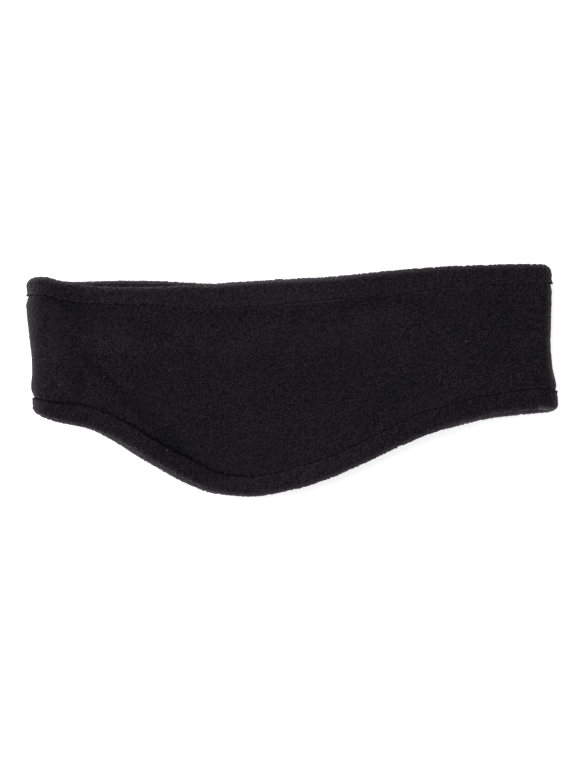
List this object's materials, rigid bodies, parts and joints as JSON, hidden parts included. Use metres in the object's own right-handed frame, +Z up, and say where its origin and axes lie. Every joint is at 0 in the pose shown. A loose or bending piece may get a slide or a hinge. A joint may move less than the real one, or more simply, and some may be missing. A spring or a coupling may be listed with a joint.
{
  "type": "ear warmer headband",
  "caption": "Soft fleece ear warmer headband: a closed loop that widens over the ears, both edges bound with folded fleece, lying folded in two on its side.",
  "frame": {"origin": "under the middle of the headband's box, on the surface it lies on", "axes": "+X from the nape fold to the forehead fold, +Y from the ear edge to the crown edge, +Z up off the surface"},
  "size_m": [0.2602, 0.114, 0.0204],
  "materials": {
    "panel_fleece": "matt brushed pile, black",
    "binding_fleece": "matt brushed pile, black, folded over the edge"
  },
  "bodies": {
    "root": {"fleece_band": "panel_fleece", "crown_binding": "binding_fleece", "ear_binding": "binding_fleece"}
  },
  "joints": []
}
